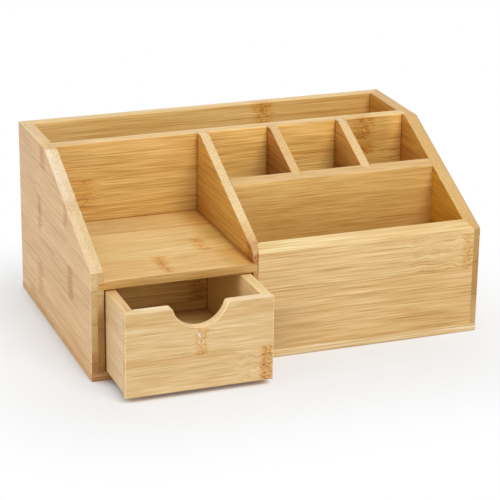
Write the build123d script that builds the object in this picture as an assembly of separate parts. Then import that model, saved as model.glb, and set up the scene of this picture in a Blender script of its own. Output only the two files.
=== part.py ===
"""Bamboo desk organizer: a drawer under an open shelf, a letter slot, three pen cells and a front bay."""
import os

from build123d import *

# ---------------------------------------------------------------- driving dimensions, mm
# X runs along the width, the front faces -Y and Z is up. The origin is the middle of the
# underside of the base. The drawer is drawn part-way out, as it stands in use.
width = 330.0
depth = 215.0
height = 150.0
front_height = 90.0          # where the sloping edge comes down to the front
flat_top = 85.0              # level part of the top edge, measured from the back

base_thick = 7.0
side_thick = 11.0
back_thick = 10.0
middle_thick = 11.5
divider_thick = 8.0
pen_front_thick = 9.0
front_thick = 12.5
shelf_thick = 7.5

bay_width = 122.0            # clear width between the left side and the centre divider
bay_height = 68.0            # clear height between the base and the shelf
letter_slot = 57.5           # clear depth behind the middle panel
pen_cell_depth = 55.5        # clear depth of the pen cells
pen_cells = 3

# Joints of the carcass
housing = 3.5                # depth of the grooves that hold the ends of the boards
divider_housing = 2.5        # the same in the centre divider, which is grooved on both faces
shelf_housing = 4.2
shelf_end_gap = 0.8          # the shelf stops short of the bottom of its right-hand groove
back_lap = 5.5               # how far the back laps over the sides
front_lap = 5.5              # how far the front panel's slanting end cuts into the right side
divider_lap = 4.0            # and into the centre divider
tongue_top = 118.0           # the tongues of the pen row's front end out of sight below its top

# Drawer
drawer_board = 8.5           # front, back and sides
drawer_tongue = 5.0          # thickness left at the lapped ends of the front and the back
drawer_length = 139.0        # over the front and the back
drawer_side_gap = 1.25
drawer_run_gap = 0.4         # between the drawer and the base that it slides on
drawer_head_gap = 1.3        # between the drawer and the shelf
drawer_open = 49.0           # from the carcass's front to the drawer's face
front_lip = 2.7              # the front hangs this far below the drawer's sides
bottom_thick = 4.0
bottom_groove = 3.5
bottom_rise = 3.0            # from the lower edge of the sides to the bottom panel

notch_radius = 22.4
notch_depth = 18.0
notch_shoulder = 3.0

# Countersunk screws that hold the base to the boards above it
screw_shank = 3.4
screw_head = 6.8
screw_length = 19.0
screw_sink = 0.4             # how far the heads lie below the base's underside
screw_inset = 32.0           # from the front and the back, or from the sides, to a screw
recess_length = 3.6          # of the cross recess in the heads
recess_width = 0.9
recess_depth = 1.2

# Softened edges
arris = 0.8
nose_arris = 1.2             # along the top of the front panel, which hands touch most
base_arris = 0.4
nose_radius = 12.0           # the centre divider's front corner, beside the open bay

# ---------------------------------------------------------------- faces and levels
front_y = -depth / 2
back_y = depth / 2
kink_y = back_y - flat_top
left_x = -width / 2
right_x = width / 2
bay_left = left_x + side_thick
bay_right = bay_left + bay_width
divider_right = bay_right + divider_thick
cells_right = right_x - side_thick
back_inner_y = back_y - back_thick
middle_back_y = back_inner_y - letter_slot
middle_front_y = middle_back_y - middle_thick
pen_back_y = middle_front_y - pen_cell_depth
pen_front_y = pen_back_y - pen_front_thick
front_inner_y = front_y + front_thick
shelf_under_z = base_thick + bay_height
shelf_top_z = shelf_under_z + shelf_thick

drawer_left = bay_left + drawer_side_gap
drawer_right = bay_right - drawer_side_gap
drawer_middle_x = (drawer_left + drawer_right) / 2
drawer_face_y = front_y - drawer_open
drawer_rear_y = drawer_face_y + drawer_length
drawer_low_z = base_thick + drawer_run_gap
drawer_top_z = shelf_under_z - drawer_head_gap
front_low_z = drawer_low_z - front_lip
notch_low_z = drawer_top_z - notch_depth


# ---------------------------------------------------------------- board tools
def near(value, level):
    """Whether two lengths are the same but for rounding."""
    return abs(value - level) < 0.001


def prism(plan, z0, z1):
    """A plan outline raised from one level to another."""
    return extrude(Plane.XY.offset(z0) * Polygon(*plan, align=None), z1 - z0)


def block(x0, x1, y0, y1, z0, z1):
    """A square-edged board between two corners."""
    return prism([(x0, y0), (x1, y0), (x1, y1), (x0, y1)], z0, z1)


def column(x0, x1, y0, y1):
    """A block from the base to well above the top: a board's blank, or its groove in another."""
    return block(x0, x1, y0, y1, base_thick, 2 * height)


def soften(board, radius, chosen):
    """Round the edges of a board that a test picks by their middle point."""
    return fillet([edge for edge in board.edges() if chosen(edge.center())], radius)


roof = Polygon(
    (front_y, base_thick),
    (front_y, front_height),
    (kink_y, height),
    (back_y, height),
    (back_y, base_thick),
    align=None,
)
envelope = extrude(Plane.YZ * roof, width / 2, both=True)


def across(seat, radius=arris):
    """A board that runs along X and ends at the roof line, with its long upper edges rounded."""
    board = seat & envelope
    upper = [edge for edge in board.edges().filter_by(Axis.X) if edge.center().Z > base_thick + radius]
    return fillet(upper, radius)


def lengthwise(seat, hidden_ends=(), nose=0.0):
    """A board that runs along Y and ends at the roof line, rounded where it shows.

    nose: the radius of its front upper corner, where that is more than a softened edge.
    """
    board = seat & envelope
    if nose:
        board = soften(board, nose, lambda at: near(at.Y, front_y) and near(at.Z, front_height))
    return soften(
        board,
        arris,
        lambda at: not near(at.Z, base_thick) and not any(near(at.Y, end) for end in hidden_ends),
    )


def cut(board, *seats):
    """A board with the seats of its neighbours cut out of it."""
    for seat in seats:
        board -= seat
    return board


# ---------------------------------------------------------------- seats of the carcass's boards
# Each seat is the space of one board with its ends in their grooves. The board is made from
# its seat, and the boards that hold it are cut by the same seat.
left_seat = column(left_x, bay_left, front_y, back_y)
right_seat = column(cells_right, right_x, front_y, back_y)
back_seat = column(left_x + back_lap, right_x - back_lap, back_inner_y, back_y)
middle_seat = column(bay_left - housing, cells_right + housing, middle_front_y, middle_back_y)
divider_rear_y = middle_front_y + housing
divider_seat = column(bay_right, divider_right, front_y, divider_rear_y)
pen_row_blank = column(divider_right - divider_housing, cells_right + housing, pen_front_y, pen_back_y)
pen_row_stops = [
    block(divider_right - divider_housing, divider_right, pen_front_y, pen_back_y, tongue_top, 2 * height),
    block(cells_right, cells_right + housing, pen_front_y, pen_back_y, tongue_top, 2 * height),
]
pen_row_seat = cut(pen_row_blank, *pen_row_stops)
shelf_left = bay_left - shelf_housing
shelf_right = bay_right + shelf_housing
shelf_seat = block(shelf_left, shelf_right, front_y, middle_front_y, shelf_under_z, shelf_top_z)

# The front panel's ends slant, so that its joints close tight as it is pressed home.
front_plan = [
    (divider_right - divider_lap, front_y),
    (cells_right + front_lap, front_y),
    (cells_right, front_inner_y),
    (divider_right, front_inner_y),
]
front_seat = prism(front_plan, base_thick, 2 * height)


def pen_divider_seat(index):
    """The space of a pen divider. The dividers part their row into equal cells."""
    clear = cells_right - divider_right - (pen_cells - 1) * divider_thick
    x0 = divider_right + clear / pen_cells * (index + 1) + divider_thick * index
    return column(x0, x0 + divider_thick, pen_back_y - housing, divider_rear_y)


pen_divider_seats = [pen_divider_seat(index) for index in range(pen_cells - 1)]


# ---------------------------------------------------------------- screws under the base
def screw_well(x, y):
    """The countersunk hole for one screw, up through the base into the board above."""
    head = screw_head / 2
    shank = screw_shank / 2
    tip_z = screw_sink + screw_length
    taper_z = screw_sink + head - shank
    outline = [(0, 0), (head, 0), (head, screw_sink), (shank, taper_z), (shank, tip_z), (0, tip_z)]
    return Pos(x, y, 0) * revolve(Plane.XZ * Polygon(*outline, align=None), Axis.Z)


def screw(x, y):
    """One screw driven home in its hole, its head a little below the base's underside."""
    below_head = Pos(0, 0, screw_sink / 2) * Box(screw_head, screw_head, screw_sink)
    recess = Box(recess_length, recess_width, recess_depth) + Box(recess_width, recess_length, recess_depth)
    recess = Pos(0, 0, screw_sink + recess_depth / 2) * recess
    return screw_well(x, y) - Pos(x, y, 0) * (below_head + recess)


def screw_pair(seat):
    """The places of the two screws that go up into a board, each the same way in from its end."""
    box = seat.bounding_box()
    middle = box.center()
    if box.size.X > box.size.Y:
        return [(box.min.X + screw_inset, middle.Y), (box.max.X - screw_inset, middle.Y)]
    return [(middle.X, box.min.Y + screw_inset), (middle.X, box.max.Y - screw_inset)]


screwed_seats = {
    "left_side_panel": left_seat,
    "right_side_panel": right_seat,
    "back_panel": back_seat,
    "centre_divider": divider_seat,
}

# ---------------------------------------------------------------- carcass
base_board = block(left_x, right_x, front_y, back_y, 0, base_thick)
base_board = chamfer(base_board.edges().group_by(Axis.Z)[0], arris)
base_board = chamfer(base_board.edges().group_by(Axis.Z)[-1], base_arris)

carcass = {
    "base_board": base_board,
    "left_side_panel": cut(lengthwise(left_seat), back_seat, middle_seat, shelf_seat),
    "right_side_panel": cut(lengthwise(right_seat), back_seat, middle_seat, pen_row_seat, front_seat),
    "back_panel": across(back_seat),
    "middle_panel": cut(across(middle_seat), divider_seat, *pen_divider_seats),
    "centre_divider": cut(
        lengthwise(divider_seat, [divider_rear_y], nose_radius), shelf_seat, pen_row_seat, front_seat
    ),
    "front_panel": across(front_seat, nose_arris),
    "pen_row_front": cut(across(pen_row_blank), *pen_row_stops, *pen_divider_seats),
}
for index, seat in enumerate(pen_divider_seats):
    carcass[f"pen_divider_{index + 1}"] = lengthwise(seat, [pen_back_y - housing, divider_rear_y])

shelf = block(shelf_left, shelf_right - shelf_end_gap, front_y, middle_front_y, shelf_under_z, shelf_top_z)
carcass["shelf"] = fillet(shelf.edges().filter_by(Axis.X).group_by(Axis.Y)[0], arris)

screws = []
for name, seat in screwed_seats.items():
    for place in screw_pair(seat):
        carcass[name] -= screw_well(*place)
        carcass["base_board"] -= screw_well(*place)
        screws.append(screw(*place))
carcass["base_screws"] = Compound(children=screws)

# ---------------------------------------------------------------- drawer
# The front and the back are lapped over the ends of the sides, and the bottom lies in grooves
# that run round all four.
front_rear_y = drawer_face_y + drawer_board
back_front_y = drawer_rear_y - drawer_board
side_start_y = drawer_face_y + drawer_tongue
side_end_y = drawer_rear_y - drawer_tongue
inner_left = drawer_left + drawer_board
inner_right = drawer_right - drawer_board

drawer_bottom = block(
    inner_left - bottom_groove,
    inner_right + bottom_groove,
    front_rear_y - bottom_groove,
    back_front_y + bottom_groove,
    drawer_low_z + bottom_rise,
    drawer_low_z + bottom_rise + bottom_thick,
)


def drawer_side(x0, x1):
    """One side of the drawer, between the tongues of its front and back."""
    board = block(x0, x1, side_start_y, side_end_y, drawer_low_z, drawer_top_z)
    return cut(fillet(board.edges().filter_by(Axis.Y), arris), drawer_bottom)


def side_seat(x0, x1):
    """The space of a side at its full height, which is cut from the ends of the front and back."""
    return block(x0, x1, side_start_y, side_end_y, front_low_z, drawer_top_z)


side_seats = [side_seat(drawer_left, inner_left), side_seat(inner_right, drawer_right)]


def notched_face():
    """The outline of the drawer's front in X and Z, with a finger notch in its upper edge."""
    face = Pos(drawer_middle_x, (front_low_z + drawer_top_z) / 2)
    face *= Rectangle(drawer_right - drawer_left, drawer_top_z - front_low_z)
    face -= Pos(drawer_middle_x, notch_low_z + notch_radius) * Circle(notch_radius)
    ends = (drawer_left, drawer_right)
    shoulders = [corner for corner in face.vertices() if not any(near(corner.X, end) for end in ends)]
    return fillet(shoulders, notch_shoulder)


def drawer_front_board():
    """The drawer's front, with laps for the sides and a thin lip below them."""
    board = extrude(Plane.XZ.offset(-drawer_face_y) * notched_face(), -drawer_board)
    board = soften(
        board,
        arris,
        lambda at: near(at.Y, drawer_face_y) or (near(at.Y, front_rear_y) and at.Z > notch_low_z - arris),
    )
    under_sides = block(drawer_left, drawer_right, side_start_y, front_rear_y, front_low_z, drawer_low_z)
    return cut(board, *side_seats, under_sides, drawer_bottom)


def drawer_back_board():
    """The drawer's back, with laps for the sides."""
    board = block(drawer_left, drawer_right, back_front_y, drawer_rear_y, drawer_low_z, drawer_top_z)
    board = soften(
        board,
        arris,
        lambda at: near(at.Y, drawer_rear_y) or (near(at.Y, back_front_y) and near(at.Z, drawer_top_z)),
    )
    return cut(board, *side_seats, drawer_bottom)


drawer = {
    "drawer_front": drawer_front_board(),
    "drawer_left_side": drawer_side(drawer_left, inner_left),
    "drawer_right_side": drawer_side(inner_right, drawer_right),
    "drawer_back": drawer_back_board(),
    "drawer_bottom": drawer_bottom,
}

# ---------------------------------------------------------------- one file for each board
os.makedirs("parts", exist_ok=True)
for name, board in {**carcass, **drawer}.items():
    export_step(board, f"parts/{name}.step")
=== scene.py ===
"""Looks of the bamboo desk organizer.

Lacquered boards of laminated bamboo strips, plated screws and a white studio. Boards are described
in millimetres, as they are cut. Blender's own units are metres.
"""

from collections import namedtuple
from math import cos, radians, sin

import bmesh
import bpy
from mathutils import Matrix, Vector

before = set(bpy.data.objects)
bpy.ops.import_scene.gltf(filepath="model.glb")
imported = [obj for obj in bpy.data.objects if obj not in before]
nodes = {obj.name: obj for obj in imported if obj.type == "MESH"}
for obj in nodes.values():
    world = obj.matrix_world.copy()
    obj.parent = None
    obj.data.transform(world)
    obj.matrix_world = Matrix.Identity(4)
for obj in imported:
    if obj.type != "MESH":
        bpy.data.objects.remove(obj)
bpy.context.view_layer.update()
scene = bpy.context.scene

MM_PER_METRE = 1000.0
X, Y, Z = 0, 1, 2


# ---------------------------------------------------------------- camera
PICTURE_WIDTH = 500  # pixels
FOCAL_LENGTH = 2008.9  # pixels
CAMERA_PLACE = (-0.5528, -1.4857, 0.6359)
CAMERA_AZIMUTH = 20.58  # degrees, turned from +Y towards +X
CAMERA_DIP = 20.20  # degrees below the horizon
CAMERA_ROLL = -0.746  # degrees
CAMERA_REACH = 50.0


def place_camera():
    """A long lens at the left of the front, looking down at the organizer."""
    azimuth, dip, roll = (radians(angle) for angle in (CAMERA_AZIMUTH, CAMERA_DIP, CAMERA_ROLL))
    forward = Vector((sin(azimuth) * cos(dip), cos(azimuth) * cos(dip), -sin(dip)))
    level = Vector((cos(azimuth), -sin(azimuth), 0))
    upright = level.cross(forward)
    right = level * cos(roll) - upright * sin(roll)
    up = level * sin(roll) + upright * cos(roll)
    data = bpy.data.cameras.new("camera")
    data.lens = data.sensor_width * FOCAL_LENGTH / PICTURE_WIDTH
    data.clip_end = CAMERA_REACH
    camera = bpy.data.objects.new("camera", data)
    turn = Matrix((right, up, -forward)).transposed().to_4x4()
    camera.matrix_world = Matrix.Translation(CAMERA_PLACE) @ turn
    scene.collection.objects.link(camera)
    scene.camera = camera


place_camera()


# ---------------------------------------------------------------- shader tools
class Wire:
    """The output of a shader node. Arithmetic on it adds Math nodes."""

    def __init__(self, finish, socket):
        self.finish = finish
        self.socket = socket

    def math(self, operation, *values):
        return self.finish.add("ShaderNodeMath", {"operation": operation}, values)

    def __add__(self, other):
        return self.math("ADD", self, other)

    def __sub__(self, other):
        return self.math("SUBTRACT", self, other)

    def __rsub__(self, other):
        return self.math("SUBTRACT", other, self)

    def __mul__(self, other):
        return self.math("MULTIPLY", self, other)

    def __gt__(self, other):
        return self.math("GREATER_THAN", self, other)

    def __abs__(self):
        return self.math("ABSOLUTE", self)

    __radd__ = __add__
    __rmul__ = __mul__


class Finish:
    """A material whose nodes are being laid."""

    # A Mix node has its sockets once for each kind of data. These are the ones of a colour.
    MIX_SHARE, MIX_FIRST, MIX_SECOND = 0, 6, 7
    MIX_RESULT = 2

    def __init__(self, name):
        self.material = bpy.data.materials.new(name)
        self.material.use_nodes = True
        self.tree = self.material.node_tree
        self.tree.nodes.clear()

    def add(self, kind, settings=None, inputs=(), output=0):
        """Add a node, set its settings, then its inputs, and return one of its outputs."""
        node = self.tree.nodes.new(kind)
        for key, value in (settings or {}).items():
            if key == "stops":
                lay_stops(node.color_ramp, value)
            else:
                setattr(node, key, value)
        pairs = inputs.items() if isinstance(inputs, dict) else enumerate(inputs)
        for key, value in pairs:
            if isinstance(value, Wire):
                self.tree.links.new(value.socket, node.inputs[key])
            else:
                node.inputs[key].default_value = value
        return Wire(self, node.outputs[output])

    def place(self):
        """The place on the piece, in metres, as it is at rest."""
        return self.add("ShaderNodeTexCoord", output="Object")

    def vector(self, x, y, z):
        return self.add("ShaderNodeCombineXYZ", None, (x, y, z))

    def scaled(self, vector, scale):
        return self.add("ShaderNodeVectorMath", {"operation": "SCALE"}, {0: vector, "Scale": scale})

    def parts(self, vector):
        """The three numbers of a vector."""
        split = self.add("ShaderNodeSeparateXYZ", None, (vector,))
        return [Wire(self, socket) for socket in split.socket.node.outputs]

    def smooth(self, value, low, high):
        """0 at low and 1 at high, with a soft step between them, whichever of the two is greater."""
        settings = {"interpolation_type": "SMOOTHSTEP"}
        inputs = {"Value": value, "From Min": low, "From Max": high}
        return self.add("ShaderNodeMapRange", settings, inputs)

    def noise(self, vector, detail, roughness=0.5):
        inputs = {"Vector": vector, "Scale": 1.0, "Detail": detail, "Roughness": roughness}
        return self.add("ShaderNodeTexNoise", None, inputs)

    def mix(self, share, first, second, blend="MIX"):
        """A colour from two: the first at share 0."""
        settings = {"data_type": "RGBA", "blend_type": blend}
        inputs = {self.MIX_SHARE: share, self.MIX_FIRST: first, self.MIX_SECOND: second}
        return self.add("ShaderNodeMix", settings, inputs, self.MIX_RESULT)

    def tinted(self, share, colour, tint):
        """A colour multiplied by a tint, as far as the share goes."""
        return self.mix(share, colour, opaque(tint), "MULTIPLY")

    def surface(self, shader):
        """Send the shader to the material's output and return the material."""
        output = self.tree.nodes.new("ShaderNodeOutputMaterial")
        self.tree.links.new(shader.socket, output.inputs["Surface"])
        return self.material


def opaque(colour):
    return (*colour, 1.0)


def lay_stops(ramp, stops):
    """Give a colour ramp its stops: pairs of place and colour."""
    while len(ramp.elements) < len(stops):
        ramp.elements.new(1.0)
    for element, (place, colour) in zip(ramp.elements, stops):
        element.position = place
        element.color = opaque(colour)


# ---------------------------------------------------------------- bamboo
# From the dark of a knuckle to the pale pith side of a strip
BAMBOO_STOPS = (
    (0.0, (0.25, 0.095, 0.015)),
    (0.25, (0.45, 0.225, 0.055)),
    (0.5, (0.63, 0.395, 0.140)),
    (0.75, (0.77, 0.555, 0.270)),
    (1.0, (0.89, 0.740, 0.460)),
)
REDDER = (1.0, 0.90, 0.84)
EDGE_TINT = (1.02, 1.0, 0.90)
# painted shade in the corners where boards meet
CORNER_SHADE_TINT = (0.72, 0.56, 0.36)
BLEACHED = (0.84, 0.67, 0.56)
SAWN = (0.90, 0.74, 0.46)
SAWN_SHARE = 0.30  # how far a slanting cut turns to that colour

SEAM_CORE = 0.14  # mm from the middle of a seam to the end of its full dark
SEAM_WIDTH = 0.7  # and to where it has faded
LAYER_SHIFT = 4.0  # how far the seams of a board's layers miss each other
STRIP_SHIFT = 400.0  # mm over which luck shifts the grain of the strips along them

# Patterns in the grain: how fast they change per mm along the fibres and across them
DRIFTS = (0.007, 0.03)
CURLS = (0.08, 0.14)
SWATHES = (0.006, 0.06)
BANDS = (0.008, 0.24)
THREADS = (0.012, 0.70)
HAIRS = (0.024, 1.9)
VEINS = (0.012, 1.1)
DOTS = (0.08, 1.2)
SPOTS = (0.50, 1.05)
BLOTS = (0.5, 0.5)
FLAMES = (0.07, 0.24)
BLOT_DEPTH, FLAME_DEPTH = 2.5, 4.0  # these two stay the same through the board

WANDER = 1.6  # mm from side to side that a fibre strays
CURL = 7.0  # and close to a knuckle or in a figure
BAND_SHARE, THREAD_SHARE, HAIR_SHARE = 0.28, 0.38, 0.90  # of the streaks

# Knuckles: their line bends across the strip and their edge is ragged
BEND = 8.0  # mm from side to side
BEND_RATE = 0.12  # changes per mm
RAGS = 2.5  # half widths
RAG_RATE = 0.7
SIDES_APART = 7.0  # so that the two sides are ragged in their own ways
MARK_STEP = (0.3, 1.4)  # half widths
RIDGE_STEP = (0.2, 1.3)
RIDGE_MEAN = 0.6
NEAR = 4.0  # half widths over which the fibres curl
FIGURE_CORE = 0.5  # share of a figure's half length over which it is full

# The steps of the masks: where each begins and where it is full
VEIN_STEP = (0.58, 0.74)
DOT_STEP = (0.15, 0.60)
SPOT_STEP = (0.46, 0.60)
BLOT_STEP = (0.42, 0.56)
END_STEP = (0.65, 0.95)  # these five on the surface's normal
SLOPE_STEP = (0.15, 0.40)
EDGE_STEP = (0.5, 0.9)
ARRIS_STEP = (0.40, 0.48)
INNER_STEP = (0.5, 0.9)

# The tone runs from 0, the darkest brown, to 1, the palest. These are added to it or taken off.
MEAN_TONE = 0.60
LUCK_TONE = 0.06
SWATHE_TONE = 0.20
STREAK_TONE = 0.25
FLAME_TONE = 0.34
FIGURE_TONE = 0.02
SLOPE_TONE = 0.06
EDGE_TONE = 0.05
VEIN_DARK = 0.08
DOT_DARK, SLOPE_DOT_DARK, END_DOT_DARK = 0.03, 0.34, 0.10
DOT_MEAN = 0.4
# painted shade on the arrises, which keeps their highlights down
ARRIS_PAINTED_SHADE = 0.12
END_DARK = 0.14
SEAM_DARK = 0.16
SLOPE_SEAM_PALER = 0.12
RIDGE_DARK = 0.22
STAIN_DARK = 0.03
SPOT_DARK = 0.30

LUCK_HUE = 0.3
STAIN_SHARE, SPOT_SHARE = 0.4, 0.6  # of a knuckle's tint: all over it, and on its spots
LACQUER_ROUGHNESS = 0.42
STREAK_ROUGHNESS = 0.25
END_ROUGHNESS = 0.15
VEIN_RELIEF, DOT_RELIEF, SEAM_RELIEF = 0.3, 0.3, 0.6
RELIEF_STRENGTH = 0.3
RELIEF_HEIGHT = 0.0001  # metres

# A knuckle crosses one strip at a place along the grain. Its brown dashes, its ridge line and its
# bleached spots each have a strength.
Knuckle = namedtuple("Knuckle", "place low high half dark ridge bleach", defaults=(0, 0, 0))

# A figure is a stretch of one strip where the fibres run in pale waves.
Figure = namedtuple("Figure", "place low high half")


def fade(part, tint, *stretches):
    """A tint on one kind of face: all, inner, end, edge or slope, which is a slanting cut. Some
    fades are the board's own colour and some are painted light and shade.

    stretches: an axis, and where on it the tint begins and where it is full.
    """
    return part, stretches, tint


class Bamboo(Finish):
    """A board's finish, worked out in the board's own directions.

    grain: the axis along the fibres. face: the axis across the strips. The third axis goes
    through the board, and inside is the sign of the broad face that looks into the organizer.
    seams: places on the face axis where strips meet, each with the tone of the strip above it.
    layers: levels on the third axis where another layer begins, and its tint. tone, edge_tone,
    end_tone: paler or darker than a plain board, all over and on the faces across the strips and
    across the fibres. tint, lacquer, stain_tint: over the board, over its inside and on its
    knuckles. The tint over the inside is partly the board's own tone and partly painted light
    and shade: mostly darker and warmer, as painted shade and warm bounce inside the organizer,
    and on the drawer's inside lighter, as painted light. streaks, swathes: how strong the fine
    and the broad ones are.
    short: how many times shorter they are than on a plain board. glue: how dark the seams are.
    knuckles, figures and fades: as above. creases: an axis, a place on it where a neighbour meets
    the inside face, and how far the painted shade of that corner reaches.
    """

    def __init__(
        self, name, seed, grain, face, inside, seams, layers=(),
        tone=0.0, edge_tone=0.0, end_tone=0.0,
        tint=(1, 1, 1), inside_tone_and_painted_light=(1, 1, 1), stain_tint=(1.0, 0.80, 0.46),
        streaks=1.0, swathes=1.0, short=1.0, glue=1.0,
        knuckles=(), figures=(), corner_shades=(), fades=(),
    ):
        super().__init__(name)
        axes = self.parts(self.scaled(self.place(), MM_PER_METRE))
        thickness = X + Y + Z - grain - face
        along, across, through = axes[grain], axes[face], axes[thickness]

        # Strips and layers, each with its luck
        layer = sum((through > level for level, layer_tint in layers), 0.0)
        height = across + layer * LAYER_SHIFT if layers else across
        row = sum((height > seam for seam, strip_tone in seams), 0.0)
        ticket = {"Vector": self.vector(row, layer, float(seed))}
        luck = self.add("ShaderNodeTexWhiteNoise", None, ticket, "Color")
        luck_tone, luck_shift, luck_hue = self.parts(luck)
        seam = self.seam_mask(height, seams)

        # Grain, which bends round the knuckles
        stain, line, pale, near = self.knuckle_masks(along, across, knuckles)
        figure = self.figure_mask(along, across, figures)
        start = (along + luck_shift * STRIP_SHIFT) * short
        drift = self.swing(start, across, through, DRIFTS)
        curl = self.swing(start, across, through, CURLS, 2.0)
        fibres = across + drift * WANDER + curl * (near + figure) * CURL
        broad = self.swing(start, fibres, through, SWATHES)
        bands = self.swing(start, fibres, through, BANDS)
        threads = self.swing(start, fibres, through, THREADS)
        hairs = self.swing(start, fibres, through, HAIRS)
        streak = bands * BAND_SHARE + threads * THREAD_SHARE + hairs * HAIR_SHARE
        veins = self.noise(self.stretched(start, fibres, through, VEINS), 1.0)
        vein = self.smooth(veins, *VEIN_STEP)
        bundle = {"Vector": self.stretched(start, fibres, through, DOTS), "Scale": 1.0}
        dots = 1.0 - self.smooth(self.add("ShaderNodeTexVoronoi", None, bundle), *DOT_STEP)

        # Marks within the knuckles and figures
        spots = self.vector(along * SPOTS[0], fibres * SPOTS[1], through)
        spots = self.smooth(self.noise(spots, 3.0, 0.7), *SPOT_STEP)
        blots = self.vector(along * BLOTS[0], across * BLOTS[1], BLOT_DEPTH)
        blots = self.smooth(self.noise(blots, 2.0), *BLOT_STEP)
        flames = self.vector(along * FLAMES[0], fibres * FLAMES[1], FLAME_DEPTH)
        flames = self.noise(flames, 2.0) - 0.5

        end, slope, edge, arris, inner = self.face_masks(grain, face, thickness, inside)
        plain = 1.0 - slope - end
        value = (
            MEAN_TONE
            + tone
            + self.strip_tones(height, seams)
            + (luck_tone - 0.5) * LUCK_TONE
            + broad * (SWATHE_TONE * swathes)
            + streak * (STREAK_TONE + plain * streaks)
            - vein * plain * (VEIN_DARK * streaks)
            - (dots - DOT_MEAN) * (DOT_DARK + slope * SLOPE_DOT_DARK + end * END_DOT_DARK)
            + figure * (flames * FLAME_TONE + FIGURE_TONE)
            + slope * SLOPE_TONE
            + edge * (edge_tone + EDGE_TONE)
            - arris * ARRIS_PAINTED_SHADE
            - end * (END_DARK - end_tone)
            - seam * ((SEAM_DARK - slope * SLOPE_SEAM_PALER) * glue)
            - line * RIDGE_DARK
            - stain * (STAIN_DARK + spots * SPOT_DARK)
        )

        colour = self.add("ShaderNodeValToRGB", {"stops": BAMBOO_STOPS}, (value,))
        colour = self.tinted(luck_hue * LUCK_HUE + broad + bands, colour, REDDER)
        colour = self.tinted(stain * (STAIN_SHARE + spots * SPOT_SHARE), colour, stain_tint)
        colour = self.tinted(edge, colour, EDGE_TINT)
        colour = self.mix(pale * blots, colour, opaque(BLEACHED))
        colour = self.mix(slope * SAWN_SHARE, colour, opaque(SAWN))
        colour = self.mix(1.0, colour, self.layer_tint(through, tint, layers), "MULTIPLY")
        # The inside's tint: partly the board's own tone, partly painted light and shade of the
        # organizer's inside.
        colour = self.tinted(inner, colour, inside_tone_and_painted_light)
        # painted shade along the corners where a neighbour meets the inside face
        if corner_shades:
            colour = self.tinted(inner * self.corner_shade_mask(axes, corner_shades), colour, CORNER_SHADE_TINT)
        masks = {"all": 1.0, "inner": inner, "end": end, "edge": edge, "slope": slope}
        for part, stretches, fade_tint in fades:
            share = masks[part]
            for axis, begin, finish in stretches:
                share = share * self.smooth(axes[axis], begin, finish)
            colour = self.tinted(share, colour, fade_tint)

        relief = streak - vein * VEIN_RELIEF - dots * DOT_RELIEF - seam * (SEAM_RELIEF * glue)
        bump = {"Strength": RELIEF_STRENGTH, "Distance": RELIEF_HEIGHT, "Height": relief}
        self.surface(self.add("ShaderNodeBsdfPrincipled", None, {
            "Base Color": colour,
            "Roughness": LACQUER_ROUGHNESS + streak * STREAK_ROUGHNESS + end * END_ROUGHNESS,
            "Normal": self.add("ShaderNodeBump", None, bump),
        }))

    def stretched(self, along, across, through, pattern):
        """A place in a pattern that is drawn out along the fibres."""
        per_length, per_width = pattern
        return self.vector(along * per_length, across * per_width, through * per_width)

    def swing(self, along, across, through, pattern, detail=1.0):
        """A pattern's noise, to both sides of 0."""
        return self.noise(self.stretched(along, across, through, pattern), detail) - 0.5

    def face_masks(self, grain, face, thickness, inside):
        """How far the surface is an end, a slanting cut, an edge, an edge's arris or the inside."""
        normal = self.parts(self.add("ShaderNodeTexCoord", output="Normal"))
        slant = abs(normal[grain])
        end = self.smooth(slant, *END_STEP)
        slope = self.smooth(slant, *SLOPE_STEP) - end
        edge = self.smooth(abs(normal[face]), *EDGE_STEP) * (1.0 - slope)
        arris = self.smooth(abs(normal[face] * normal[thickness]), *ARRIS_STEP)
        inner = self.smooth(normal[thickness] * inside, *INNER_STEP)
        return end, slope, edge, arris, inner

    def strip_mask(self, across, low, high, outside=0.4, within=0.4):
        """1 on one strip, with soft limits this far outside it and within it."""
        begun = self.smooth(across, low - outside, low + within)
        ended = self.smooth(across, high - within, high + outside)
        return begun - ended

    def knuckle_masks(self, along, across, knuckles):
        """The knuckles' dashes, their ridge lines, their bleached spots and their neighbourhood."""
        stain = line = pale = near = 0.0
        for place, low, high, half, dark, ridge, bleach in knuckles:
            side = along > place
            bend = self.noise(self.vector(float(place), across * BEND_RATE, 0.0), 2.0) - 0.5
            rags = self.vector(float(place), across * RAG_RATE, side * SIDES_APART)
            ragged = self.noise(rags, 3.0, 0.75) - 0.5
            off = abs(along - place + bend * BEND)
            far = off + ragged * (half * RAGS)
            inside = self.strip_mask(across, low, high)
            mark = inside * (1.0 - self.smooth(far, half * MARK_STEP[0], half * MARK_STEP[1]))
            ridge_line = inside * (1.0 - self.smooth(off, *RIDGE_STEP))
            stain = stain + mark * dark
            line = line + ridge_line * ((ragged + RIDGE_MEAN) * ridge)
            pale = pale + mark * bleach
            near = near + inside * (1.0 - self.smooth(off, 0.0, half * NEAR))
        return stain, line, pale, near

    def figure_mask(self, along, across, figures):
        """1 where the fibres run in pale waves."""
        mask = 0.0
        for place, low, high, half in figures:
            inside = self.strip_mask(across, low, high, outside=1, within=2)
            ended = self.smooth(abs(along - place), half * FIGURE_CORE, half)
            mask = mask + inside * (1.0 - ended)
        return mask

    def seam_mask(self, height, seams):
        """1 on the glue line between two strips."""
        mask = 0.0
        for seam, strip_tone in seams:
            mask = mask + (1.0 - self.smooth(abs(height - seam), SEAM_CORE, SEAM_WIDTH))
        return mask

    def corner_shade_mask(self, axes, corner_shades):
        """1 where a neighbour meets the board, for the painted shade in that corner."""
        mask = 0.0
        for axis, level, breadth in corner_shades:
            mask = mask + (1.0 - self.smooth(abs(axes[axis] - level), 0.0, breadth))
        return mask

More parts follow.
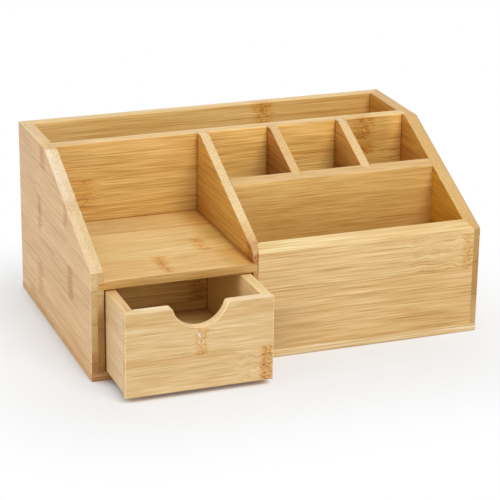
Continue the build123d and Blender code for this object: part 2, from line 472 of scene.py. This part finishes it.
    def strip_tones(self, height, seams):
        """The tone of the strip that a place lies on. The strip below the first seam is plain."""
        tone = below = 0.0
        for seam, above in seams:
            tone = tone + (height > seam) * (above - below)
            below = above
        return tone

    def layer_tint(self, through, tint, layers):
        """The tint of the layer that a place lies in."""
        colour = opaque(tint)
        for level, layer_tint in layers:
            colour = self.mix(through > level, colour, opaque(layer_tint))
        return colour


def first(name, axis):
    """Where a board begins on an axis, in mm."""
    return min(vertex.co[axis] for vertex in nodes[name].data.vertices) * MM_PER_METRE


def last(name, axis):
    """Where a board ends on an axis, in mm."""
    return max(vertex.co[axis] for vertex in nodes[name].data.vertices) * MM_PER_METRE


BACK_FACE = first("back_panel", Y)
MIDDLE_FACE = first("middle_panel", Y)
RIGHT_FACE = first("right_side_panel", X)
DIVIDER_FACE = first("centre_divider", X)
PEN_DIVIDER_1_FACE = first("pen_divider_1", X)
PEN_DIVIDER_2_FACE = first("pen_divider_2", X)
SHELF_TOP = last("shelf", Z)
DRAWER_BACK_FACE = first("drawer_back", Y)
DRAWER_RIGHT_FACE = first("drawer_right_side", X)
DRAWER_FLOOR = last("drawer_bottom", Z)

BOARDS = {
    "base_board": dict(
        grain=X, face=Y, inside=1,
        seams=(
            (-78, 0.02), (-52, -0.03), (-25, 0.03), (2, 0.0), (30, -0.04), (58, 0.03), (84, 0.0),
        ),
        tone=0.01, end_tone=0.06,
        tint=(0.91, 0.99, 1.24), inside_tone_and_painted_light=(1.15, 0.98, 0.72),
        fades=(
            fade("end", (1.07, 0.92, 0.76)),
            fade("all", (0.95, 0.92, 0.87), (X, 60, -40)),
            fade("edge", (0.78, 0.55, 0.42), (X, -138, -150)),
        ),
    ),
    "left_side_panel": dict(
        grain=Y, face=Z, inside=1,
        seams=((15, 0.02), (47.5, -0.03), (75, 0.0), (104, 0.02), (132, -0.02)),
        layers=((-159.5, (0.93, 0.86, 0.77)),),
        tone=-0.02, edge_tone=0.20, end_tone=-0.03,
        tint=(0.98, 0.91, 0.91), stain_tint=(0.94, 0.78, 0.54),
        streaks=0.7, swathes=1.5, short=1.6,
        knuckles=(
            Knuckle(70, 0, 15, half=12, dark=0.8),
            Knuckle(44, 15, 47.5, half=9, dark=0.8, ridge=0.3),
            Knuckle(-50, 47.5, 75, half=8, dark=1.1, ridge=0.8),
            Knuckle(42, 75, 104, half=7, dark=1.0, ridge=0.9),
            Knuckle(-38, 104, 132, half=6, dark=1.0, ridge=0.5),
            Knuckle(30, 132, 150, half=8, dark=1.1, ridge=0.4),
        ),
        fades=(
            fade("all", (1.0, 0.91, 0.76), (Z, 20, 2), (Y, 60, -60)),
            fade("all", (0.94, 0.94, 0.94), (Z, 80, 120), (Y, 30, 80)),
            # painted warm bounce in the gap beside the drawer, on the inner face and the end's inner
            # edge, below the drawer's top
            fade("inner", (1.25, 0.98, 0.40), (Z, 75, 72)),
            fade("end", (1.10, 0.96, 0.62), (X, -155.2, -154.4), (Z, 78, 74)),
            fade("slope", (0.95, 1.0, 1.07)),
            # painted highlight: the slope paler and whiter towards its top
            fade("slope", (1.10, 1.22, 1.50), (Z, 110, 142)),
            fade("end", (0.98, 1.20, 1.66)),
            # painted shadow of the drawer on the front end: darker below the drawer's top, deepest
            # on the inner half and at the bottom
            fade("end", (0.65, 0.46, 0.27), (X, -159.8, -159.2), (Z, 64, 50)),
            fade("end", (0.88, 0.84, 0.68), (X, -159.2, -159.8), (Z, 66, 40)),
            fade("end", (0.85, 0.67, 0.60), (X, -159.2, -159.8), (Z, 27, 22)),
        ),
    ),
    "right_side_panel": dict(
        grain=Y, face=Z, inside=-1,
        seams=((33, 0.01), (61, -0.01), (91, 0.02), (121, -0.02)),
        tone=-0.04, end_tone=-0.22,
        tint=(0.96, 0.86, 0.68), inside_tone_and_painted_light=(0.96, 0.75, 0.18),
        streaks=0.9,
        knuckles=(
            Knuckle(40, 61, 91, half=6, dark=0.9, ridge=0.3),
            Knuckle(-60, 33, 61, half=5, dark=0.8, ridge=0.3),
        ),
        corner_shades=((Y, MIDDLE_FACE, 2), (Y, BACK_FACE, 2)),
        fades=(
            fade("inner", (1.0, 1.02, 1.90), (Y, -31, -27)),
            # painted light: the wall lighter low down in the right pen cell
            fade("inner", (1.25, 1.27, 1.60), (Y, -31, -27), (Z, 142, 124)),
            fade("inner", (0.90, 0.88, 0.82), (Y, -24, -29), (Z, 104, 112)),
            fade("inner", (0.94, 0.88, 0.66), (Y, -24, -29), (Z, 99, 90)),
            fade("slope", (0.85, 0.80, 0.67)),
            fade("slope", (0.95, 0.88, 0.85), (Z, 102, 94)),
            fade("slope", (0.70, 0.62, 0.62), (X, 163.5, 164.5)),
            fade("end", (1.03, 1.30, 1.75)),
            fade("end", (0.86, 0.78, 0.68), (Z, 64, 60)),
            fade("end", (1.33, 1.62, 2.5), (Z, 38, 12)),
        ),
    ),
    "back_panel": dict(
        grain=X, face=Z, inside=-1,
        seams=((33, 0.03), (60, -0.03), (86, 0.03), (112, 0.0), (137, 0.02)),
        tone=0.03, edge_tone=-0.04,
        inside_tone_and_painted_light=(1.05, 0.98, 0.73), stain_tint=(1.0, 0.84, 0.46),
        streaks=0.75, swathes=0.8, short=0.8,
        knuckles=(
            Knuckle(52, 112, 150, half=9, dark=1.2),
            Knuckle(-70, 60, 86, half=6, dark=0.9, ridge=0.3),
        ),
        fades=(
            fade("edge", (1.04, 1.05, 1.05)),
            fade("edge", (1.09, 1.10, 1.18), (X, -50, -10)),
            fade("inner", (0.97, 0.92, 0.82), (X, 60, 110)),
            fade("inner", (1.08, 1.10, 1.20), (X, -60, -120)),
        ),
    ),
    "middle_panel": dict(
        grain=X, face=Z, inside=-1,
        seams=((40, 0.02), (68, -0.02), (96, 0.02), (119, 0.0)),
        tone=-0.06, edge_tone=0.08,
        inside_tone_and_painted_light=(1.0, 0.95, 0.68), stain_tint=(1.0, 0.85, 0.50),
        swathes=0.6,
        knuckles=(
            Knuckle(-131, 96, 119, half=9, dark=0.6),
            Knuckle(118, 117, 150, half=10, dark=1.1, ridge=0.3),
            Knuckle(147, 96, 119, half=7, dark=0.35),
        ),
        corner_shades=(
            (X, DIVIDER_FACE, 3), (X, PEN_DIVIDER_1_FACE, 2), (X, PEN_DIVIDER_2_FACE, 2),
            (X, RIGHT_FACE, 1), (Z, SHELF_TOP, 2),
        ),
        fades=(
            fade("edge", (1.11, 1.12, 1.09)),
            fade("edge", (0.90, 0.84, 0.78), (X, -115, -135)),
            # painted light: lighter in the pen cells, less so in the middle of the right-hand one
            fade("inner", (1.31, 1.31, 1.28), (X, -34, -26)),
            fade("inner", (0.80, 0.76, 0.68), (X, 92, 96), (X, 150, 136)),
        ),
    ),
    "centre_divider": dict(
        grain=Y, face=Z, inside=-1,
        seams=((34, 0.02), (62, -0.02), (88, 0.02), (118, -0.01)),
        tone=-0.10, edge_tone=0.24,
        inside_tone_and_painted_light=(0.95, 0.80, 0.42), stain_tint=(0.86, 0.62, 0.34),
        knuckles=(Knuckle(-101, 76, 100, half=8, dark=1.7),),
        corner_shades=((Z, SHELF_TOP, 1.5), (Y, MIDDLE_FACE, 1.5)),
        fades=(
            fade("inner", (0.93, 0.86, 0.66), (Y, -50, -90), (Z, 112, 96)),
            fade("slope", (0.90, 0.77, 0.60), (Z, 110, 98)),
            fade("end", (0.88, 0.84, 0.72)),
        ),
    ),
    "shelf": dict(
        grain=X, face=Y, inside=1,
        seams=((-70, 0.07), (-7, -0.08)),
        tone=0.07, edge_tone=-0.36,
        tint=(1.06, 1.04, 0.93),
        streaks=0.7, swathes=1.3, short=1.5,
        knuckles=(
            Knuckle(-100, -104, -70, half=5, dark=1.1, ridge=0.9),
            Knuckle(-58, -66, -38, half=6, dark=1.0, ridge=0.5),
        ),
        corner_shades=((X, DIVIDER_FACE, 5), (Y, MIDDLE_FACE, 3)),
        fades=(
            # painted warm bounce and shade beside the centre divider
            fade("inner", (0.98, 0.85, 0.60), (X, -60, -38)),
            fade("inner", (0.90, 0.91, 0.86), (X, -58, -44), (Y, -5, -35)),
            fade("inner", (0.94, 1.02, 1.19), (Y, -9, -5)),
            fade("inner", (1.12, 1.09, 1.03), (Y, -9, -5), (X, -115, -60)),
            fade("inner", (0.93, 0.93, 0.87), (Y, -5, -9), (Y, -74, -68), (X, -105, -150)),
            fade("inner", (0.98, 0.91, 0.85), (Y, -68, -72)),
            fade("edge", (0.86, 0.88, 0.96)),
        ),
    ),
    "front_panel": dict(
        grain=X, face=Z, inside=1,
        seams=((56, 0.02),),
        tone=-0.06, edge_tone=0.18,
        tint=(0.95, 0.97, 1.0),
        streaks=0.85, swathes=1.7,
        knuckles=(Knuckle(155, 56, 86, half=5, dark=0.7),),
        figures=(Figure(122, 57, 88, half=36),),
        fades=(
            fade("all", (0.80, 0.78, 0.73), (X, 40, -20), (Z, 52, 36)),
            fade("inner", (0.90, 0.83, 0.72), (X, 60, 10), (Z, 52, 56), (Z, 62, 58)),
            fade("all", (0.96, 0.94, 0.89), (X, 50, 110)),
            fade("edge", (0.95, 0.88, 0.78), (X, 20, 90)),
        ),
    ),
    "pen_row_front": dict(
        grain=X, face=Z, inside=-1,
        seams=((30, 0.03), (55, -0.02), (82, 0.0), (104, 0.0)),
        tint=(0.93, 0.89, 0.86), inside_tone_and_painted_light=(1.05, 0.96, 0.66),
        streaks=0.62, swathes=0.0, short=1.5, glue=0.4,
        knuckles=(Knuckle(-10, 30, 55, half=5, dark=0.8, ridge=0.2),),
        fades=(fade("edge", (0.93, 0.91, 0.92)),),
    ),
    "pen_divider_1": dict(
        grain=Y, face=Z, inside=-1,
        seams=((35, 0.03), (60, -0.02), (90, 0.03), (118, -0.02)),
        tone=-0.20, edge_tone=0.2,
        inside_tone_and_painted_light=(0.80, 0.54, 0.26),
        corner_shades=((Y, MIDDLE_FACE, 1.5),),
        fades=(fade("inner", (0.90, 0.86, 0.80), (Z, 138, 122)), fade("slope", (0.93, 0.86, 0.72))),
    ),
    "pen_divider_2": dict(
        grain=Y, face=Z, inside=-1,
        seams=((30, -0.03), (64, 0.02), (88, -0.02), (112, 0.02)),
        tone=-0.14, edge_tone=0.2,
        inside_tone_and_painted_light=(1.0, 0.78, 0.42),
        knuckles=(Knuckle(-21, 110, 126, half=4, dark=1.2),),
        corner_shades=((Y, MIDDLE_FACE, 1.5),),
        fades=(fade("inner", (0.85, 0.80, 0.76), (Z, 138, 122)), fade("slope", (0.95, 0.90, 0.82))),
    ),
    "drawer_front": dict(
        grain=X, face=Z, inside=1,
        seams=((33, 0.01), (55, 0.0)),
        edge_tone=0.18, end_tone=0.22,
        tint=(0.90, 0.92, 1.0),
        streaks=0.55, swathes=1.2, short=1.7, glue=0.35,
        knuckles=(
            Knuckle(-92, 33, 55, half=5, dark=0.9),
            Knuckle(-93, 47.5, 52, half=2.2, bleach=1.0),
            Knuckle(-92, 42, 46, half=2.2, bleach=0.8),
            Knuckle(-39, 4, 33, half=5.5, dark=1.5),
        ),
        figures=(Figure(-56, 5, 33, half=13),),
        fades=(
            fade("end", (1.46, 1.50, 1.66), (X, -150, -146), (X, -50, -54)),
            fade("edge", (1.10, 1.06, 1.03)),
            fade("edge", (1.09, 1.15, 1.36), (X, -146, -132), (Z, 72.5, 73.0)),
            fade("edge", (1.12, 1.08, 1.06), (Z, 64, 58)),
            fade("slope", (1.10, 1.05, 0.92)),
            # painted highlight on the right-hand curve of the notch
            fade("slope", (1.12, 1.16, 1.22), (X, -86, -75)),
            fade("all", (0.95, 0.88, 0.78), (Z, 58, 63), (Z, 70, 66)),
            fade("all", (0.94, 0.87, 0.77), (X, -56, -90), (Z, 26, 31), (Z, 36, 33)),
        ),
    ),
    "drawer_left_side": dict(
        grain=Y, face=Z, inside=1,
        seams=((30, -0.01), (52, 0.01)),
        tone=0.03,
        tint=(1.02, 1.07, 1.32),
        streaks=0.7, glue=0.3,
        fades=(fade("edge", (1.0, 0.95, 0.86)), fade("edge", (0.93, 0.88, 0.78), (Y, -128, -106))),
    ),
    "drawer_right_side": dict(
        grain=Y, face=Z, inside=-1,
        seams=((26, 0.01), (50, 0.0)),
        tone=0.05,
        inside_tone_and_painted_light=(1.05, 1.12, 1.26),
        streaks=0.45, glue=0.0,
        corner_shades=((Y, DRAWER_BACK_FACE, 2), (Z, DRAWER_FLOOR, 2)),
        fades=(
            fade("edge", (1.04, 1.09, 1.16)),
            # painted shade of the shelf from the middle forwards, and painted light on the front
            # part, where the drawer is open
            fade("inner", (0.82, 0.74, 0.56), (Y, -20, -84)),
            fade("inner", (1.65, 1.78, 2.2), (Y, -92, -116)),
        ),
    ),
    "drawer_back": dict(
        grain=X, face=Z, inside=-1,
        seams=((23, 0.02), (48, -0.02)),
        tone=0.02,
        inside_tone_and_painted_light=(0.91, 0.89, 0.84), stain_tint=(0.88, 0.74, 0.62),
        knuckles=(Knuckle(-51, 23, 48, half=7, dark=0.9),),
        corner_shades=((Z, DRAWER_FLOOR, 2), (X, DRAWER_RIGHT_FACE, 2)),
    ),
    "drawer_bottom": dict(
        grain=X, face=Y, inside=1,
        seams=((-130, 0.02), (-104, -0.02), (-78, 0.02), (-52, 0.0)),
        tone=0.25,
        inside_tone_and_painted_light=(1.18, 1.19, 1.02),
        fades=(
            # painted shade towards the back and painted light towards the front
            fade("inner", (0.66, 0.58, 0.66), (Y, -38, -26)),
            fade("inner", (1.12, 1.14, 1.12), (Y, -36, -48)),
        ),
    ),
}

for seed, (name, board) in enumerate(BOARDS.items()):
    nodes[name].data.materials.clear()
    nodes[name].data.materials.append(Bamboo("bamboo_" + name, seed, **board).material)


# ---------------------------------------------------------------- screws
ZINC_DULL = (0.62, 0.61, 0.58)
ZINC_BRIGHT = (0.72, 0.71, 0.67)
ZINC_ROUGHNESS = 0.28
CLOUD_ROUGHNESS = 0.2


def plated_steel():
    """Zinc plate, brighter and duller in small clouds."""
    f = Finish("plated_steel")
    cloud = f.noise(f.scaled(f.place(), MM_PER_METRE), 3.0)
    return f.surface(f.add("ShaderNodeBsdfPrincipled", None, {
        "Base Color": f.mix(cloud, opaque(ZINC_DULL), opaque(ZINC_BRIGHT)),
        "Metallic": 1.0,
        "Roughness": ZINC_ROUGHNESS + cloud * CLOUD_ROUGHNESS,
    }))


nodes["base_screws"].data.materials.clear()
nodes["base_screws"].data.materials.append(plated_steel())


# ---------------------------------------------------------------- studio
WHITE = (1.0, 1.0, 1.0)
AMBIENT = 0.53
LAMP_TARGET = (0, 0, 0.07)

FLOOR_HALF = 8.0
FLOOR_PAINT = (0.92, 0.92, 0.92)
PAINTED_CONTACT_SHADE = (0.62, 0.50, 0.40)  # painted contact shade: the seen floor close under a board, darker and warm like bounce from the wood
FLOOR_GLOW = 0.46  # light of its own where the floor is seen
SHADOW_DEPTH = 0.41  # how white its paint is under that glow, and so how deep the shadow shows
CONTACT = 0.018  # metres: how near a board must be for the floor to count as covered
COVER_RAYS = 16
LIFT_STEP = (0.25, 0.85)  # of the floor's openness: where its own glow comes in
COVER_STEP = (0.2, 0.6)  # and where the painted contact shade has gone
SHADE_MIDDLE = (-0.020, -0.035)  # the shadow shows in full over this part of the floor
SHADE_HALF = (0.115, 0.085)
WHITE_BY = 0.185  # metres from that part at which the floor has turned to plain white


def white_world():
    """A white surround: at full white where it is seen or mirrored, softer where it lights."""
    world = bpy.data.worlds.new("studio")
    scene.world = world
    world.use_nodes = True
    tree = world.node_tree
    tree.nodes.clear()
    rays = tree.nodes.new("ShaderNodeLightPath")
    mixed = tree.nodes.new("ShaderNodeMixShader")
    output = tree.nodes.new("ShaderNodeOutputWorld")
    # The first background is what is seen or mirrored, the second what lights the boards.
    for slot, strength in ((1, 1.0), (2, AMBIENT)):
        background = tree.nodes.new("ShaderNodeBackground")
        background.inputs["Color"].default_value = opaque(WHITE)
        background.inputs["Strength"].default_value = strength
        tree.links.new(background.outputs["Background"], mixed.inputs[slot])
    tree.links.new(rays.outputs["Is Diffuse Ray"], mixed.inputs["Fac"])
    tree.links.new(mixed.outputs["Shader"], output.inputs["Surface"])


def softbox(name, place, size, power):
    """A square lamp that points at the organizer."""
    data = bpy.data.lights.new(name, "AREA")
    data.size = size
    data.energy = power
    lamp = bpy.data.objects.new(name, data)
    lamp.location = place
    lamp.rotation_euler = (Vector(LAMP_TARGET) - Vector(place)).to_track_quat("-Z", "Y").to_euler()
    scene.collection.objects.link(lamp)


def floor_white():
    """White paint that keeps the organizer's shadow and shows as plain white farther out.

    Where the floor is seen, a glow of its own lifts the shadow to the depth of a bright studio's,
    but not close under a board, where hardly any light gets in. There the seen floor turns darker
    and warmer: painted contact shade and painted warm bounce from the wood.
    """
    f = Finish("floor_white")
    camera_ray = f.add("ShaderNodeLightPath", output="Is Camera Ray")
    seen = camera_ray + f.add("ShaderNodeLightPath", output="Is Glossy Ray")
    beyond = [
        f.add("ShaderNodeMath", {"operation": "MAXIMUM"}, (abs(value - middle) - half, 0.0))
        for value, middle, half in zip(f.parts(f.place()), SHADE_MIDDLE, SHADE_HALF)
    ]
    length = {"operation": "LENGTH"}
    reach = f.add("ShaderNodeVectorMath", length, {0: f.vector(*beyond, 0.0)}, "Value")
    rays = {"samples": COVER_RAYS}
    openness = f.add("ShaderNodeAmbientOcclusion", rays, {"Distance": CONTACT}, "AO")

    # painted contact shade: a darker, warmer colour where the seen floor is close under a board
    covered = seen * (1.0 - f.smooth(openness, *COVER_STEP))
    paint = f.mix(covered, opaque(FLOOR_PAINT), opaque(PAINTED_CONTACT_SHADE))
    paint = f.add("ShaderNodeBsdfDiffuse", None, {"Color": paint})
    veil = f.add("ShaderNodeBsdfDiffuse", None, {"Color": opaque([SHADOW_DEPTH] * 3)})
    glow = f.add("ShaderNodeEmission", None, {"Strength": FLOOR_GLOW})
    glowing = f.add("ShaderNodeAddShader", None, (veil, glow))
    lifted = seen * f.smooth(openness, *LIFT_STEP)
    near = f.add("ShaderNodeMixShader", None, (lifted, paint, glowing))
    plain = f.add("ShaderNodeEmission", None, {"Strength": 1.0})
    far = seen * f.smooth(reach, 0.0, WHITE_BY)
    return f.surface(f.add("ShaderNodeMixShader", None, (far, near, plain)))


def lay_floor():
    mesh = bpy.data.meshes.new("floor")
    shape = bmesh.new()
    bmesh.ops.create_grid(shape, x_segments=1, y_segments=1, size=FLOOR_HALF)
    shape.to_mesh(mesh)
    shape.free()
    mesh.materials.append(floor_white())
    floor = bpy.data.objects.new("floor", mesh)
    scene.collection.objects.link(floor)


white_world()
lay_floor()
softbox("key", place=(0.95, -3.1, 3.6), size=2.2, power=128.0)
softbox("left_fill", place=(-3.5, -0.9, 0.7), size=1.4, power=34.0)
softbox("front_fill", place=(1.0, -3.9, 1.2), size=1.4, power=6.0)
scene.view_settings.view_transform = "Standard"
